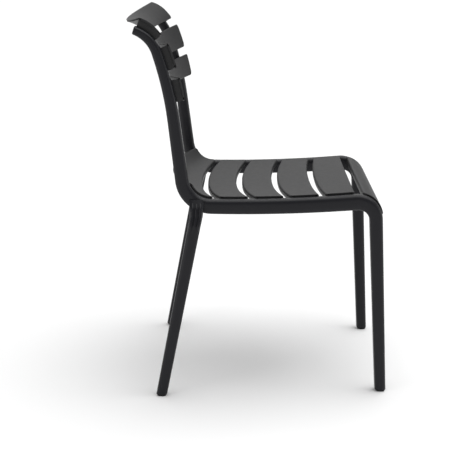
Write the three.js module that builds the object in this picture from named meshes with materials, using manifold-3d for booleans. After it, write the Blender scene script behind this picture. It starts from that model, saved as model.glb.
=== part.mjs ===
// A slatted stacking chair without arms, made as a kit of separate mouldings.
// Millimetres, +Z up. The sitter faces -Y, so the chair's right side is at -X.
// The origin is on the floor, under the middle of the chair's bounding box.

import * as THREE from "three";
import Module from "manifold-3d";

// ---- Side frame: front leg, seat rail and back post in one bent member ----
const FRAME_SPAN = 408; // between the middles of the two side frames
const MEMBER_WIDTH = 28; // of the member, measured across the chair
const MEMBER_CORNER = 8; // radius of its four long edges
const END_ROUND = 2; // how far its tip is rounded over
const LEG_HEADING = 87; // degrees above a line that runs straight back
const LEG_LENGTH = 391.3; // from the floor to the front bend
const FRONT_BEND_RADIUS = 40;
const FRONT_BEND_TURN = -91.5; // degrees, a minus sign turns towards the floor
const RAIL_LENGTH = 309;
const RAIL_TURN = 5.5;
const REAR_BEND_RADIUS = 64;
const REAR_BEND_TURN = 82;
const POST_LENGTH = 124; // the straight stretch above the rear bend
const LEAN_RADIUS = 720;
const LEAN_TURN = -12;
const CURL_RADIUS = 75;
const CURL_TURN = -53;

// How deep the member is, seen from the side, where those stretches end.
const DEPTH_FOOT = 23.7;
const DEPTH_KNEE = 28.5;
const DEPTH_RAIL_FRONT = 33;
const DEPTH_RAIL_REAR = 31;
const DEPTH_POST_FOOT = 28;
const DEPTH_POST_MIDDLE = 26;
const DEPTH_POST_HEAD = 21.5;
const DEPTH_TIP = 17.5;

// ---- Rear leg: it stands against the outer face of a side frame ----
const HEAD_BEHIND_RAIL = 31.5; // middle of its head, behind the end of the rail
const REAR_FOOT_SPLAY = 28; // how far its foot stands out past the front one
const REAR_LEG_THICKNESS = 24; // across the chair
const REAR_LEG_RAKE = 0.195; // how far it comes forward for each unit of height
const REAR_DEPTH_FOOT = 23.7;
const REAR_DEPTH_KNEE = 27;
const REAR_DEPTH_NECK = 25;
const REAR_DEPTH_HEAD = 25;
const NECK_ABOVE_KNEE = 20; // the leg is slimmest this far above its knee
const HEAD_HEIGHT = 33; // upright part of the leg, above the neck
const HEAD_THICKNESS = 14; // of the head's middle, outside the rail
const HEAD_TOP_THICKNESS = 5; // what is left of it where it dies away

// ---- Seat slats ----
const SLAT_THICKNESS = 4;
const SLAT_CORNER = 4;
const SEAT_SLAT_LAP = 4; // how far its ends reach over the rails
const SEAT_SLAT_RISE = 3.5; // its top face, above the rail
const SEAT_SLAT_DEPTH = 11; // with its turned-down edges
const SEAT_EDGE_THICKNESS = 3.5; // of those edges
const SLOT_WIDTH = 13;
const SLOT_PITCH = 76;
const SLOT_COUNT = 5;
const FRONT_SLOT_FROM_BEND = -5; // middle of the front slot, from the front bend
const FRONT_SLAT_START = 4; // the front slat starts this far round the front bend
const REAR_SLAT_SHORT = 14; // the rear slat ends this far before the rear bend does
const SEAT_BOW = 27; // the middle of the rear slot, behind its ends
const REAR_SLAT_BOW = 42; // the same, for the top edge of the rear slat
const BOW_POWER = 2.3; // 2 is a plain arc, more is flatter in the middle
const DISH_FRONT = 1; // how far the middle of the seat lies below its ends
const DISH_REAR = 8;

// ---- Back slats, from the lowest to the highest ----
const BACK_SLAT_LAP = 14.5; // how far its ends reach over the posts
const BACK_STANDOFF = 19.3; // front face of a slat, from the front of the post
const BACK_SLAT_NAMES = ["lower", "middle", "upper"];
const BACK_SLAT_TALL = [49, 51, 46]; // measured along the post
const BACK_SLAT_GAP = [17.5, 13];
const BACK_SLAT_TIP = 2.5; // the upper slat ends this far before the post does
const BACK_BOW = 40; // the middle of a slat, behind its ends
const BACK_BOW_DROP = [5, 8, 11, 18]; // and below them, from edge to edge
const BACK_SLAT_CORNER = 7;
const BACK_SLAT_TOP_CORNER = 3;
const WEB_THICKNESS = 7; // of the end webs that join a back slat to its posts
const WEB_INSET = 1; // outer face of a web, from the end of its slat

// ---- Foot glides, and fits ----
const GLIDE_THICKNESS = 3;
const GLIDE_INSET = 2; // the glide's rim, inside the foot's rim
const STEM_RADIUS = 5;
const STEM_HEIGHT = 12;
const FIT = 0.3; // room left between any two pieces that touch

// ---- How finely curves are cut ----
const CORNER_STEPS = 3;
const ARC_STEP = 9; // degrees
const ACROSS_STEPS = 12;
const ALONG_STEPS = 4;
const STEM_STEPS = 20;

const FRAME_FINISH = { color: 0x2b2b2f, roughness: 0.5, metalness: 0 };
const SLAT_FINISH = { color: 0x4a4a4c, roughness: 0.55, metalness: 0 };
const GLIDE_FINISH = { color: 0x161617, roughness: 0.85, metalness: 0 };

const wasm = await Module();
wasm.setup();

const radians = (degrees) => (degrees * Math.PI) / 180;
const mix = (from, to, share) => from + (to - from) * share;
const FOOT_HEIGHT = GLIDE_THICKNESS + FIT;
const FRAME_MIDDLE = FRAME_SPAN / 2;
const FRAME_OUTER = FRAME_MIDDLE + MEMBER_WIDTH / 2;
const FRAME_INNER = FRAME_MIDDLE - MEMBER_WIDTH / 2;
const SEAT_SLAT_HALF = FRAME_INNER + SEAT_SLAT_LAP;
const BACK_SLAT_HALF = FRAME_INNER + BACK_SLAT_LAP;
const REAR_FOOT_OUTER = FRAME_OUTER + REAR_FOOT_SPLAY;

// ---- The side frame's path ----

// One stretch of the path: its length, its turn and the depth where it ends.
const stretch = (length, turn, depth) => ({ length, turn, depth });
const arc = (radius, turn, depth) =>
  stretch(radius * Math.abs(radians(turn)), turn, depth);
const STRETCHES = {
  leg: stretch(LEG_LENGTH, 0, DEPTH_KNEE),
  frontBend: arc(FRONT_BEND_RADIUS, FRONT_BEND_TURN, DEPTH_RAIL_FRONT),
  rail: stretch(RAIL_LENGTH, RAIL_TURN, DEPTH_RAIL_REAR),
  rearBend: arc(REAR_BEND_RADIUS, REAR_BEND_TURN, DEPTH_POST_FOOT),
  post: stretch(POST_LENGTH, 0, DEPTH_POST_MIDDLE),
  lean: arc(LEAN_RADIUS, LEAN_TURN, DEPTH_POST_HEAD),
  curl: arc(CURL_RADIUS, CURL_TURN, DEPTH_TIP),
};

// How far along the path a named stretch begins.
function startOf(name) {
  let travelled = 0;
  for (const [key, part] of Object.entries(STRETCHES)) {
    if (key === name) return travelled;
    travelled += part.length;
  }
  return travelled;
}
const PATH_LENGTH = startOf("end");

// The place, heading and depth of the member at a distance along its path.
function pathAt(distance) {
  let y = 0;
  let z = 0;
  let heading = radians(LEG_HEADING);
  let depth = DEPTH_FOOT;
  let left = distance;
  for (const part of Object.values(STRETCHES)) {
    const share = Math.min(left / part.length, 1);
    const run = part.length * share;
    const half = (radians(part.turn) * share) / 2;
    const chord = half === 0 ? run : (run * Math.sin(half)) / half;
    y += chord * Math.cos(heading + half);
    z += chord * Math.sin(heading + half);
    heading += 2 * half;
    depth = mix(depth, part.depth, share);
    left -= run;
    if (left <= 0) break;
  }
  return { y, z, heading, depth };
}

// A point at a height above the member's own face, on the sitter's side.
function aboveMember(distance, rise) {
  const { y, z, heading, depth } = pathAt(distance);
  const off = depth / 2 + rise;
  return [y - off * Math.sin(heading), z + off * Math.cos(heading)];
}

// ---- Closed solids ----

// A rounded rectangle as [across, along] points, anticlockwise.
function roundedRectangle(width, height, radius) {
  const corner = Math.min(radius, width / 2 - 0.5, height / 2 - 0.5);
  const points = [];
  for (let quarter = 0; quarter < 4; quarter += 1) {
    const across = quarter === 0 || quarter === 3 ? 1 : -1;
    const along = quarter < 2 ? 1 : -1;
    for (let step = 0; step <= CORNER_STEPS; step += 1) {
      const angle = (Math.PI / 2) * (quarter + step / CORNER_STEPS);
      points.push([
        across * (width / 2 - corner) + corner * Math.cos(angle),
        along * (height / 2 - corner) + corner * Math.sin(angle),
      ]);
    }
  }
  return points;
}

// A solid from points and triangles, with its faces turned outwards.
function solidFrom(points, triangles) {
  const make = (order) =>
    new wasm.Manifold(
      new wasm.Mesh({
        numProp: 3,
        vertProperties: new Float32Array(points.flat()),
        triVerts: new Uint32Array(order.flat()),
      }),
    );
  const solid = make(triangles);
  if (solid.volume() > 0) return solid;
  return make(triangles.map(([a, b, c]) => [a, c, b]));
}

// The triangles that fill one ring. outline is the ring seen flat.
function fillRing(outline, firstIndex, reversed) {
  const flat = outline.map(([u, v]) => new THREE.Vector2(u, v));
  return THREE.ShapeUtils.triangulateShape(flat, []).map(([a, b, c]) => {
    const order = reversed ? [a, c, b] : [a, b, c];
    return order.map((index) => firstIndex + index);
  });
}

// A closed solid through rings of points. outline is the shape of every
// ring, seen flat, and its triangles close both ends.
function loft(rings, outline) {
  const count = outline.length;
  const triangles = [];
  for (let ring = 0; ring + 1 < rings.length; ring += 1) {
    for (let side = 0; side < count; side += 1) {
      const a = ring * count + side;
      const b = ring * count + ((side + 1) % count);
      triangles.push([a, b, b + count], [a, b + count, a + count]);
    }
  }
  const anticlockwise = THREE.ShapeUtils.area(
    outline.map(([u, v]) => new THREE.Vector2(u, v)),
  );
  const turned = anticlockwise > 0;
  triangles.push(...fillRing(outline, 0, turned));
  triangles.push(...fillRing(outline, (rings.length - 1) * count, !turned));
  return solidFrom(rings.flat(), triangles);
}

// ---- Side frame ----

// The distances along the path at which the member gets a ring.
function memberStations() {
  const stations = [0];
  let travelled = 0;
  for (const part of Object.values(STRETCHES)) {
    const steps = Math.max(1, Math.round(Math.abs(part.turn) / ARC_STEP));
    for (let step = 1; step <= steps; step += 1) {
      stations.push(travelled + (part.length * step) / steps);
    }
    travelled += part.length;
  }
  stations.splice(stations.length - 1, 0, PATH_LENGTH - END_ROUND);
  return stations;
}

// The bent member, grown by a margin on its long faces.
function memberSolid(side, margin) {
  const stations = memberStations();
  const sectionAt = (distance) => {
    const atTip = distance === stations[stations.length - 1];
    const grow = 2 * (margin - (atTip ? END_ROUND : 0));
    const { depth } = pathAt(distance);
    return roundedRectangle(MEMBER_WIDTH + grow, depth + grow, MEMBER_CORNER);
  };
  const rings = stations.map((distance) => {
    const { y, z, heading } = pathAt(distance);
    return sectionAt(distance).map(([across, off]) => [
      side * FRAME_MIDDLE + across,
      y - off * Math.sin(heading),
      z + off * Math.cos(heading),
    ]);
  });
  return loft(rings, sectionAt(0)).trimByPlane([0, 0, 1], FOOT_HEIGHT - margin);
}

// ---- Rear leg ----

// The leg's rings from the foot up: height, depth, inner and outer face.
function rearLegShape() {
  const rail = pathAt(startOf("rearBend"));
  const knee = rail.z - rail.depth / 2 - NECK_ABOVE_KNEE;
  const neck = knee + NECK_ABOVE_KNEE;
  const top = neck + HEAD_HEIGHT;
  const inner = FRAME_OUTER + FIT;
  const coped = FRAME_OUTER - MEMBER_CORNER / 2;
  const kneeOuter = inner + REAR_LEG_THICKNESS;
  return [
    [FOOT_HEIGHT, REAR_DEPTH_FOOT, REAR_FOOT_OUTER - REAR_LEG_THICKNESS, REAR_FOOT_OUTER],
    [knee, REAR_DEPTH_KNEE, inner, kneeOuter],
    [neck, REAR_DEPTH_NECK, coped, mix(kneeOuter, FRAME_OUTER + HEAD_THICKNESS, 0.6)],
    [mix(neck, top, 0.5), REAR_DEPTH_HEAD, coped, FRAME_OUTER + HEAD_THICKNESS],
    [top, REAR_DEPTH_HEAD - END_ROUND, coped, FRAME_OUTER + HEAD_TOP_THICKNESS],
  ];
}

// The middle of the leg at a height: it rakes forward, then stands upright.
function rearLegY(height) {
  const neck = rearLegShape()[2][0];
  const headY = pathAt(startOf("rearBend")).y + HEAD_BEHIND_RAIL;
  return headY + REAR_LEG_RAKE * Math.max(0, neck - height);
}

function rearLegRing([height, depth, inner, outer], side, trim) {
  const section = roundedRectangle(
    outer - inner - 2 * trim,
    depth - 2 * trim,
    MEMBER_CORNER,
  );
  return section.map(([across, along]) => [
    (side * (inner + outer)) / 2 + across,
    rearLegY(height) + along,
    height,
  ]);
}

function rearLegSolid(side) {
  const shape = rearLegShape();
  const foot = shape[0];
  const aboveFoot = [foot[0] + END_ROUND, ...foot.slice(1)];
  const rings = [
    rearLegRing(foot, side, END_ROUND),
    rearLegRing(aboveFoot, side, 0),
    ...shape.slice(1).map((level) => rearLegRing(level, side, 0)),
  ];
  return loft(rings, rings[0]).subtract(memberSolid(side, FIT));
}

// ---- Slats ----

// A slat is a stretch of a face that follows the side frames and is bowed
// between them. from and to are distances along the path, and bow gives how
// far the middle of each edge is moved, back and up.
const slat = (from, to, rise, half, bowFrom, bowTo, corners) => ({
  from,
  to,
  rise,
  half,
  bow: [bowFrom, bowTo],
  corners,
});

// How much a rounded corner takes off an edge at a place across the chair.
function cornerTrim(x, half, radius) {
  const into = Math.max(0, Math.abs(x) - (half - radius));
  return radius - Math.sqrt(Math.max(0, radius * radius - into * into));
}

// The line of a slat's top face at a place across the chair. inset draws
// both edges in, and drop lowers the line below the face.
function slatLine(spec, x, inset, drop) {
  const away = 1 - (Math.abs(x) / spec.half) ** BOW_POWER;
  const from = spec.from + inset + cornerTrim(x, spec.half, spec.corners[0]);
  const to = spec.to - inset - cornerTrim(x, spec.half, spec.corners[1]);
  const points = [];
  for (let step = 0; step <= ALONG_STEPS; step += 1) {
    const distance = mix(from, to, step / ALONG_STEPS);
    const share = (distance - spec.from) / (spec.to - spec.from);
    const [y, z] = aboveMember(distance, spec.rise - drop);
    points.push([
      x,
      y + away * mix(spec.bow[0][0], spec.bow[1][0], share),
      z + away * mix(spec.bow[0][1], spec.bow[1][1], share),
    ]);
  }
  return points;
}

// The body of a slat between two places across the chair and two depths.
function slatBody(spec, places, inset, top, bottom) {
  const rings = places.map((x) => [
    ...slatLine(spec, x, inset, top),
    ...slatLine(spec, x, inset, bottom).reverse(),
  ]);
  const middle = rings[Math.floor(rings.length / 2)];
  return loft(rings, middle.map(([x, y, z]) => [y, z]));
}

// Places across a slat: even steps, and closer ones round its corners.
function placesAcross(half, radius) {
  const places = [];
  for (let step = 1; step < ACROSS_STEPS; step += 1) {
    places.push(mix(-(half - radius), half - radius, step / ACROSS_STEPS));
  }
  for (let step = 0; step <= CORNER_STEPS; step += 1) {
    const place = half - radius + radius * Math.sin(radians((90 * step) / CORNER_STEPS));
    places.push(-place, place);
  }
  return places.sort((a, b) => a - b);
}

// Even places between two ends.
function placesBetween(from, to, steps) {
  return Array.from({ length: steps + 1 }, (_, step) => mix(from, to, step / steps));
}

// Cuts away the room that both side frames need, and drops any loose sliver.
function clearOfFrames(solid) {
  const cut = solid.subtract(memberSolid(1, FIT)).subtract(memberSolid(-1, FIT));
  return cut.decompose().sort((a, b) => b.volume() - a.volume())[0];
}

// A seat slat: a face with turned-down edges, and a web at each end that
// meets the inner face of its rail.
function seatSlatSolid(spec) {
  const places = placesAcross(spec.half, Math.max(...spec.corners));
  const block = slatBody(spec, places, 0, 0, SEAT_SLAT_DEPTH);
  const end = FRAME_INNER - FIT - SEAT_EDGE_THICKNESS;
  const hollow = slatBody(
    spec,
    placesBetween(-end, end, ACROSS_STEPS),
    SEAT_EDGE_THICKNESS,
    SLAT_THICKNESS,
    SEAT_SLAT_DEPTH + FIT,
  );
  return clearOfFrames(block.subtract(hollow));
}

// A back slat: a bowed plate on two webs that stand on the posts.
function backSlatSolid(spec) {
  const places = placesAcross(spec.half, Math.max(...spec.corners));
  const plate = slatBody(spec, places, 0, 0, SLAT_THICKNESS);
  const outer = spec.half - WEB_INSET;
  const webs = [-outer, outer - WEB_THICKNESS].map((from) =>
    slatBody(
      spec,
      placesBetween(from, from + WEB_THICKNESS, 1),
      SLAT_CORNER,
      SLAT_THICKNESS / 2,
      spec.rise + MEMBER_CORNER,
    ),
  );
  return clearOfFrames(plate.add(webs[0]).add(webs[1]));
}

// The share of the full bow and dish that a slot has, from the front one.
const slotShare = (slot) => 1 - (1 - slot / (SLOT_COUNT - 1)) ** 2;

function seatSlats() {
  const railStart = startOf("rail");
  const middleOf = (slot) => railStart + FRONT_SLOT_FROM_BEND + slot * SLOT_PITCH;
  const bowOf = (slot) => [
    SEAT_BOW * slotShare(slot),
    -mix(DISH_FRONT, DISH_REAR, slotShare(slot)),
  ];
  const slats = [];
  for (let slot = 0; slot <= SLOT_COUNT; slot += 1) {
    const first = slot === 0;
    const last = slot === SLOT_COUNT;
    const from = first
      ? startOf("frontBend") + FRONT_SLAT_START
      : middleOf(slot - 1) + SLOT_WIDTH / 2;
    const to = last
      ? startOf("post") - REAR_SLAT_SHORT
      : middleOf(slot) - SLOT_WIDTH / 2;
    const bowFrom = first ? [0, 0] : bowOf(slot - 1);
    const bowTo = last ? [REAR_SLAT_BOW, -DISH_FRONT] : bowOf(slot);
    const corners = [SLAT_CORNER, SLAT_CORNER];
    slats.push(
      slat(from, to, SEAT_SLAT_RISE, SEAT_SLAT_HALF, bowFrom, bowTo, corners),
    );
  }
  return slats;
}

function backSlats() {
  const slats = [];
  let to = PATH_LENGTH - BACK_SLAT_TIP;
  for (let row = BACK_SLAT_NAMES.length - 1; row >= 0; row -= 1) {
    const from = to - BACK_SLAT_TALL[row];
    const bowFrom = [BACK_BOW, -BACK_BOW_DROP[row]];
    const bowTo = [BACK_BOW, -BACK_BOW_DROP[row + 1]];
    const corners = [BACK_SLAT_CORNER, BACK_SLAT_TOP_CORNER];
    slats.unshift(
      slat(from, to, BACK_STANDOFF, BACK_SLAT_HALF, bowFrom, bowTo, corners),
    );
    to = from - (BACK_SLAT_GAP[row - 1] ?? 0);
  }
  return slats;
}

// ---- Foot glides ----

// The stem that plugs a glide into its foot, grown by a margin.
function stemSolid(x, y, margin) {
  const radius = STEM_RADIUS + margin;
  const circle = new THREE.EllipseCurve(0, 0, radius, radius).getPoints(STEM_STEPS);
  const outline = circle.slice(1).map((point) => point.toArray());
  const ring = (z) => outline.map(([across, along]) => [x + across, y + along, z]);
  return loft([ring(0), ring(GLIDE_THICKNESS + STEM_HEIGHT + margin)], outline);
}

// A glide: a pad with the foot's own outline, drawn in, on a stem.
function glideSolid(foot) {
  const section = roundedRectangle(
    foot.width - 2 * GLIDE_INSET,
    foot.depth - 2 * GLIDE_INSET,
    MEMBER_CORNER,
  );
  const ring = (z) => section.map(([across, along]) => [foot.x + across, foot.y + along, z]);
  return loft([ring(0), ring(GLIDE_THICKNESS)], section).add(stemSolid(foot.x, foot.y, 0));
}

// Where the four feet stand.
function feet() {
  const front = { y: 0, width: MEMBER_WIDTH, depth: DEPTH_FOOT, out: FRAME_MIDDLE };
  const rear = {
    y: rearLegY(FOOT_HEIGHT),
    width: REAR_LEG_THICKNESS,
    depth: REAR_DEPTH_FOOT,
    out: REAR_FOOT_OUTER - REAR_LEG_THICKNESS / 2,
  };
  return { front, rear };
}

// ---- The chair ----

// A named mesh from a solid, with its own material.
function meshFrom(name, solid, finish) {
  const { vertProperties, triVerts } = solid.getMesh();
  const geometry = new THREE.BufferGeometry();
  geometry.setAttribute("position", new THREE.BufferAttribute(vertProperties, 3));
  geometry.setIndex(new THREE.BufferAttribute(triVerts, 1));
  geometry.computeVertexNormals();
  const mesh = new THREE.Mesh(geometry, new THREE.MeshStandardMaterial(finish));
  mesh.name = name;
  return mesh;
}

// Moves the whole chair so that the middle of its bounding box is over y = 0.
function centre(group) {
  const box = new THREE.Box3().setFromObject(group);
  const middle = (box.min.y + box.max.y) / 2;
  for (const mesh of group.children) mesh.geometry.translate(0, -middle, 0);
}

function buildChair() {
  const chair = new THREE.Group();
  chair.name = "stacking_chair";
  const { front, rear } = feet();
  for (const [side, hand] of [[-1, "right"], [1, "left"]]) {
    const frontFoot = { ...front, x: side * front.out };
    const rearFoot = { ...rear, x: side * rear.out };
    const frame = memberSolid(side, 0).subtract(stemSolid(frontFoot.x, frontFoot.y, FIT));
    const leg = rearLegSolid(side).subtract(stemSolid(rearFoot.x, rearFoot.y, FIT));
    chair.add(
      meshFrom(`side_frame_${hand}`, frame, FRAME_FINISH),
      meshFrom(`rear_leg_${hand}`, leg, FRAME_FINISH),
      meshFrom(`front_glide_${hand}`, glideSolid(frontFoot), GLIDE_FINISH),
      meshFrom(`rear_glide_${hand}`, glideSolid(rearFoot), GLIDE_FINISH),
    );
  }
  seatSlats().forEach((spec, row) => {
    chair.add(meshFrom(`seat_slat_${row + 1}`, seatSlatSolid(spec), SLAT_FINISH));
  });
  backSlats().forEach((spec, row) => {
    const name = `back_slat_${BACK_SLAT_NAMES[row]}`;
    chair.add(meshFrom(name, backSlatSolid(spec), SLAT_FINISH));
  });
  centre(chair);
  return chair;
}

export default buildChair();
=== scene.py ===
"""A slatted stacking chair without arms, modelled and finished for display.

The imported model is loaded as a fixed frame, and every piece is then built over
it in the same frame: metres, +Z up, the sitter faces -Y.
"""

import logging
import math
from dataclasses import dataclass, field
from enum import Enum
from typing import Callable

import bmesh
import bpy
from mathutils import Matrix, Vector


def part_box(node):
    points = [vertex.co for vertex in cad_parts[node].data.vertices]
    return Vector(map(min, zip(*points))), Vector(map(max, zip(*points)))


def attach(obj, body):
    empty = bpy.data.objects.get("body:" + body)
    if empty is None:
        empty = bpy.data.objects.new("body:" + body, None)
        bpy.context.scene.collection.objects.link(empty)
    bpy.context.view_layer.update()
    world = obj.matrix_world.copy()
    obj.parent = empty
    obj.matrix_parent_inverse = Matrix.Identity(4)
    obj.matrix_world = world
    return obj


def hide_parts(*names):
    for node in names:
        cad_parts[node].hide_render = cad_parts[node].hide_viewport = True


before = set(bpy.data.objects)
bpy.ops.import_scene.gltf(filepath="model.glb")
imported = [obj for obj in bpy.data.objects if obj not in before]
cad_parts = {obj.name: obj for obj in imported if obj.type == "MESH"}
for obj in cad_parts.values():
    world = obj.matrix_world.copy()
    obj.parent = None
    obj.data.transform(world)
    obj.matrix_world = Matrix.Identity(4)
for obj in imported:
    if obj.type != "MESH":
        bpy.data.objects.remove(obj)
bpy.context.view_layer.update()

LOG = logging.getLogger("stacking_chair")
MM = 0.001
BODY = "root"
RIGHT = -1.0  # the sign of X on the sitter's right
QUARTER = math.pi / 2
ROUND_STEPS = 4  # rings in a rounded rim
SAME_COLUMN = 0.001 * MM
SAME_SPOT = 0.002 * MM
SAME_LINE = 0.01 * MM
ON_CURVE = 0.02 * MM
NOTHING = 1e-9
SMOOTH_BELOW = 32.0  # degrees


class Pick(Enum):
    """What an edit mode selection is made of."""

    VERTS = "VERT"
    EDGES = "EDGE"


class Slot(Enum):
    """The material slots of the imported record."""

    FRAME = "frame_plastic"
    SLAT = "slat_plastic"
    GLIDE = "glide_rubber"


# ---- Finishes ----


class NodeTree:
    """A material's nodes, added one after another and wired by name."""

    def __init__(self, name: str) -> None:
        """Starts a material with a principled shader and an output.

        Args:
            name: the material's name.
        """
        self.material = bpy.data.materials.new(name)
        self.material.use_nodes = True
        self.nodes = self.material.node_tree.nodes
        self.links = self.material.node_tree.links
        self.nodes.clear()
        self.shader = self.add("ShaderNodeBsdfPrincipled")
        output = self.add("ShaderNodeOutputMaterial")
        self.wire(self.shader.outputs["BSDF"], output.inputs["Surface"])
        self.place = self.add("ShaderNodeTexCoord").outputs["Object"]

    def add(self, kind: str, **settings: object) -> bpy.types.Node:
        """Adds a node.

        Args:
            kind: the node's class name.
            **settings: attributes to set on it.

        Returns:
            The new node.
        """
        node = self.nodes.new(kind)
        for key, value in settings.items():
            setattr(node, key, value)
        return node

    def wire(self, source: bpy.types.NodeSocket, target: bpy.types.NodeSocket) -> None:
        """Joins an output to an input."""
        self.links.new(source, target)

    def feed(self, **sources: bpy.types.NodeSocket) -> None:
        """Joins outputs to the shader's inputs, named with _ for a space."""
        for name, source in sources.items():
            self.wire(source, self.shader.inputs[name.replace("_", " ")])

    def noise(
        self, scale: float, detail: float, roughness: float = 0.5,
        stretch: tuple[float, float, float] = (1.0, 1.0, 1.0),
    ) -> bpy.types.NodeSocket:
        """Adds noise in the piece's own coordinates.

        Args:
            scale: features to the metre.
            detail: octaves.
            roughness: how strong the fine octaves are.
            stretch: a factor on each axis.

        Returns:
            The noise's value, from 0 to 1.
        """
        mapping = self.add("ShaderNodeMapping")
        mapping.inputs["Scale"].default_value = stretch
        self.wire(self.place, mapping.inputs["Vector"])
        texture = self.add("ShaderNodeTexNoise")
        texture.inputs["Scale"].default_value = scale
        texture.inputs["Detail"].default_value = detail
        texture.inputs["Roughness"].default_value = roughness
        self.wire(mapping.outputs["Vector"], texture.inputs["Vector"])
        return texture.outputs["Fac"]

    def remap(
        self, value: bpy.types.NodeSocket, low: float, high: float, to_low: float, to_high: float
    ) -> bpy.types.NodeSocket:
        """Maps a value's range onto another, held at both ends.

        Args:
            value: what is mapped.
            low: the start of its range.
            high: the end of its range.
            to_low: the result at low.
            to_high: the result at high.

        Returns:
            The mapped value.
        """
        node = self.add("ShaderNodeMapRange", clamp=True)
        self.wire(value, node.inputs["Value"])
        for socket, number in (
            ("From Min", low), ("From Max", high), ("To Min", to_low), ("To Max", to_high),
        ):
            node.inputs[socket].default_value = number
        return node.outputs["Result"]

    def blend(
        self, share: bpy.types.NodeSocket, first: object, second: object
    ) -> bpy.types.NodeSocket:
        """Mixes two colours.

        Args:
            share: how much of the second colour shows.
            first: a colour, or a socket that gives one.
            second: a colour, or a socket that gives one.

        Returns:
            The mixed colour.
        """
        node = self.add("ShaderNodeMix", data_type="RGBA")
        self.wire(share, node.inputs[0])
        for socket, colour in ((node.inputs[6], first), (node.inputs[7], second)):
            if isinstance(colour, bpy.types.NodeSocket):
                self.wire(colour, socket)
            else:
                socket.default_value = (*colour, 1.0)
        return node.outputs[2]

    def near_floor(self, value: bpy.types.NodeSocket, height: float) -> bpy.types.NodeSocket:
        """Fades a value out with height above the floor.

        Args:
            value: what is faded.
            height: where it has gone.

        Returns:
            The value, whole at the floor.
        """
        split = self.add("ShaderNodeSeparateXYZ")
        self.wire(self.place, split.inputs["Vector"])
        product = self.add("ShaderNodeMath", operation="MULTIPLY")
        self.wire(value, product.inputs[0])
        self.wire(self.remap(split.outputs["Z"], 0.0, height, 1.0, 0.0), product.inputs[1])
        return product.outputs[0]

    def bump(
        self, height: bpy.types.NodeSocket, distance: float, strength: float,
        under: bpy.types.NodeSocket | None = None,
    ) -> bpy.types.NodeSocket:
        """Adds a relief.

        Args:
            height: the relief's height, from 0 to 1.
            distance: how high 1 stands, in metres.
            strength: how much of it shows.
            under: a coarser relief that this one lies on.

        Returns:
            The bumped normal.
        """
        node = self.add("ShaderNodeBump")
        node.inputs["Distance"].default_value = distance
        node.inputs["Strength"].default_value = strength
        self.wire(height, node.inputs["Height"])
        if under is not None:
            self.wire(under, node.inputs["Normal"])
        return node.outputs["Normal"]


@dataclass(frozen=True)
class MouldedPlastic:
    """Mass-coloured polypropylene with the satin grain of a spark-eroded mould."""

    name: str
    colour: tuple[float, float, float]
    pale: tuple[float, float, float]
    roughness: float = 0.46
    specular: float = 0.2
    grain_per_metre: float = 1500.0
    grain_height: float = 0.00006
    scuff_height: float = 0.05
    scuff: tuple[float, float, float] = (0.16, 0.16, 0.165)
    speck_gain: float = 1.7
    refraction: float = 1.49

    def material(self) -> bpy.types.Material:
        """Builds the plastic.

        Returns:
            The material.
        """
        tree = NodeTree(self.name)
        clouds = tree.remap(tree.noise(5.0, 3.0), 0.3, 0.7, 0.0, 0.6)
        colour = tree.blend(clouds, self.colour, self.pale)
        specks = tree.remap(tree.noise(700.0, 2.0), 0.60, 0.72, 0.0, 0.22)
        colour = tree.blend(specks, colour, tuple(self.speck_gain * part for part in self.pale))
        scratches = tree.remap(
            tree.noise(60.0, 6.0, 0.6, (1.0, 7.0, 1.0)), 0.62, 0.74, 0.0, 0.5
        )
        colour = tree.blend(tree.near_floor(scratches, self.scuff_height), colour, self.scuff)
        patches = tree.noise(90.0, 4.0, 0.6)
        sheen = tree.remap(patches, 0.3, 0.7, self.roughness - 0.015, self.roughness + 0.02)
        swell = tree.bump(tree.noise(60.0, 2.0), 0.0001, 0.12)
        grain = tree.bump(
            tree.noise(self.grain_per_metre, 3.0, 0.65), self.grain_height, 0.55, swell
        )
        tree.feed(Base_Color=colour, Roughness=sheen, Normal=grain)
        tree.shader.inputs["Specular IOR Level"].default_value = self.specular
        tree.shader.inputs["IOR"].default_value = self.refraction
        return tree.material


@dataclass(frozen=True)
class GlideRubber:
    """Matt black rubber, greyed by dust where it meets the floor."""

    name: str = "glide_rubber"
    colour: tuple[float, float, float] = (0.011, 0.011, 0.012)
    dust: tuple[float, float, float] = (0.09, 0.088, 0.083)
    dust_height: float = 0.003

    def material(self) -> bpy.types.Material:
        """Builds the rubber.

        Returns:
            The material.
        """
        tree = NodeTree(self.name)
        patches = tree.remap(tree.noise(240.0, 5.0, 0.6), 0.42, 0.66, 0.0, 0.55)
        dusty = tree.near_floor(patches, self.dust_height)
        tree.feed(
            Base_Color=tree.blend(dusty, self.colour, self.dust),
            Roughness=tree.remap(tree.noise(300.0, 3.0), 0.3, 0.7, 0.74, 0.9),
            Normal=tree.bump(tree.noise(1800.0, 3.0, 0.6), 0.00005, 0.6),
        )
        return tree.material


@dataclass(frozen=True)
class PaleSweep:
    """The plain pale ground that the chair stands on."""

    name: str = "pale_sweep"
    colour: tuple[float, float, float] = (0.90, 0.90, 0.90)
    cloud: float = 0.985
    roughness: float = 0.9
    specular: float = 0.2

    def material(self) -> bpy.types.Material:
        """Builds the ground's paint.

        Returns:
            The material.
        """
        tree = NodeTree(self.name)
        clouds = tree.remap(tree.noise(0.8, 2.0), 0.3, 0.7, 0.0, 1.0)
        clouded = tuple(self.cloud * part for part in self.colour)
        tree.feed(
            Base_Color=tree.blend(clouds, self.colour, clouded),
            Normal=tree.bump(tree.noise(500.0, 2.0), 0.0001, 0.2),
        )
        tree.shader.inputs["Roughness"].default_value = self.roughness
        tree.shader.inputs["Specular IOR Level"].default_value = self.specular
        return tree.material


# ---- Shaping ----


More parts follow.
